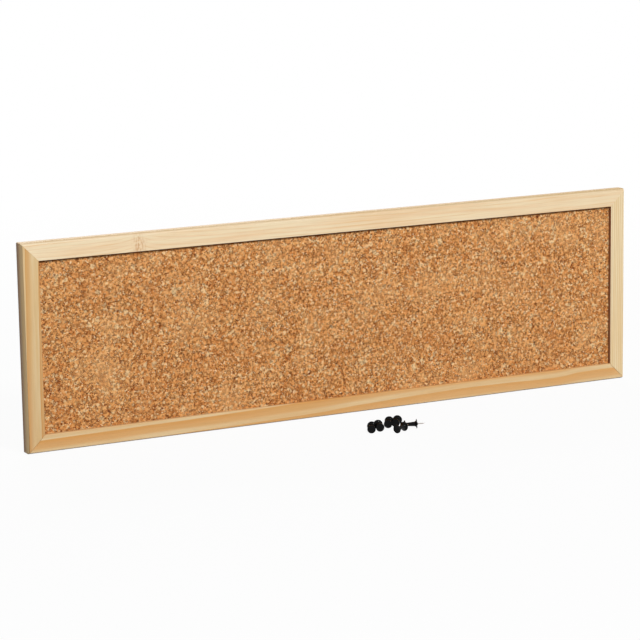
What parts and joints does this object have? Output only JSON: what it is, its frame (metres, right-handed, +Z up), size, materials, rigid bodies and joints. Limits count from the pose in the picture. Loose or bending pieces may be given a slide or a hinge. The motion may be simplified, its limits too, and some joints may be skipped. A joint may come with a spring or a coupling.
{
  "type": "cork board",
  "caption": "Long cork notice board in a mitred, rebated pine frame, with sawtooth hangers on its back and loose black push pins lying in front of it.",
  "frame": {"origin": "middle of the bottom rail's lower face, half way along the board and half way through the frame's depth", "axes": "+X to the right along the board as seen from its front, +Y towards its back, +Z up; the cork faces -Y"},
  "size_m": [0.66, 0.1159, 0.2],
  "materials": {
    "pine": "satin",
    "cork": "matte",
    "softboard": "matte",
    "zinc_steel": "satin",
    "black_plastic": "gloss",
    "needle_steel": "polished"
  },
  "bodies": {
    "board": {"backing_board": "softboard", "bottom_rail": "pine", "bottom_rail_point_1": "zinc_steel", "bottom_rail_point_2": "zinc_steel", "bottom_rail_point_3": "zinc_steel", "bottom_rail_point_4": "zinc_steel", "cork_sheet": "cork", "hanger_left": "zinc_steel", "hanger_nail_left_1": "zinc_steel", "hanger_nail_left_2": "zinc_steel", "hanger_nail_right_1": "zinc_steel", "hanger_nail_right_2": "zinc_steel", "hanger_right": "zinc_steel", "left_stile": "pine", "left_stile_point_1": "zinc_steel", "right_stile": "pine", "right_stile_point_1": "zinc_steel", "top_rail": "pine", "top_rail_point_1": "zinc_steel", "top_rail_point_2": "zinc_steel", "top_rail_point_3": "zinc_steel", "top_rail_point_4": "zinc_steel", "v_nail_bottom_left": "zinc_steel", "v_nail_bottom_right": "zinc_steel", "v_nail_top_left": "zinc_steel", "v_nail_top_right": "zinc_steel"},
    "push_pin_1": {"push_pin_1_head": "black_plastic", "push_pin_1_needle": "needle_steel"},
    "push_pin_2": {"push_pin_2_head": "black_plastic", "push_pin_2_needle": "needle_steel"},
    "push_pin_3": {"push_pin_3_head": "black_plastic", "push_pin_3_needle": "needle_steel"},
    "push_pin_4": {"push_pin_4_head": "black_plastic", "push_pin_4_needle": "needle_steel"},
    "push_pin_5": {"push_pin_5_head": "black_plastic", "push_pin_5_needle": "needle_steel"},
    "push_pin_6": {"push_pin_6_head": "black_plastic", "push_pin_6_needle": "needle_steel"}
  },
  "joints": [
    {"name": "push_pin_1_lift", "type": "slide", "parent": "board", "child": "push_pin_1", "axis": [0, 0, 1], "range_m": [0, 0.22]},
    {"name": "push_pin_2_lift", "type": "slide", "parent": "board", "child": "push_pin_2", "axis": [0, 0, 1], "range_m": [0, 0.22]},
    {"name": "push_pin_3_lift", "type": "slide", "parent": "board", "child": "push_pin_3", "axis": [0, 0, 1], "range_m": [0, 0.22]},
    {"name": "push_pin_4_lift", "type": "slide", "parent": "board", "child": "push_pin_4", "axis": [0, 0, 1], "range_m": [0, 0.22]},
    {"name": "push_pin_5_lift", "type": "slide", "parent": "board", "child": "push_pin_5", "axis": [0, 0, 1], "range_m": [0, 0.22]},
    {"name": "push_pin_6_lift", "type": "slide", "parent": "board", "child": "push_pin_6", "axis": [0, 0, 1], "range_m": [0, 0.22]}
  ]
}
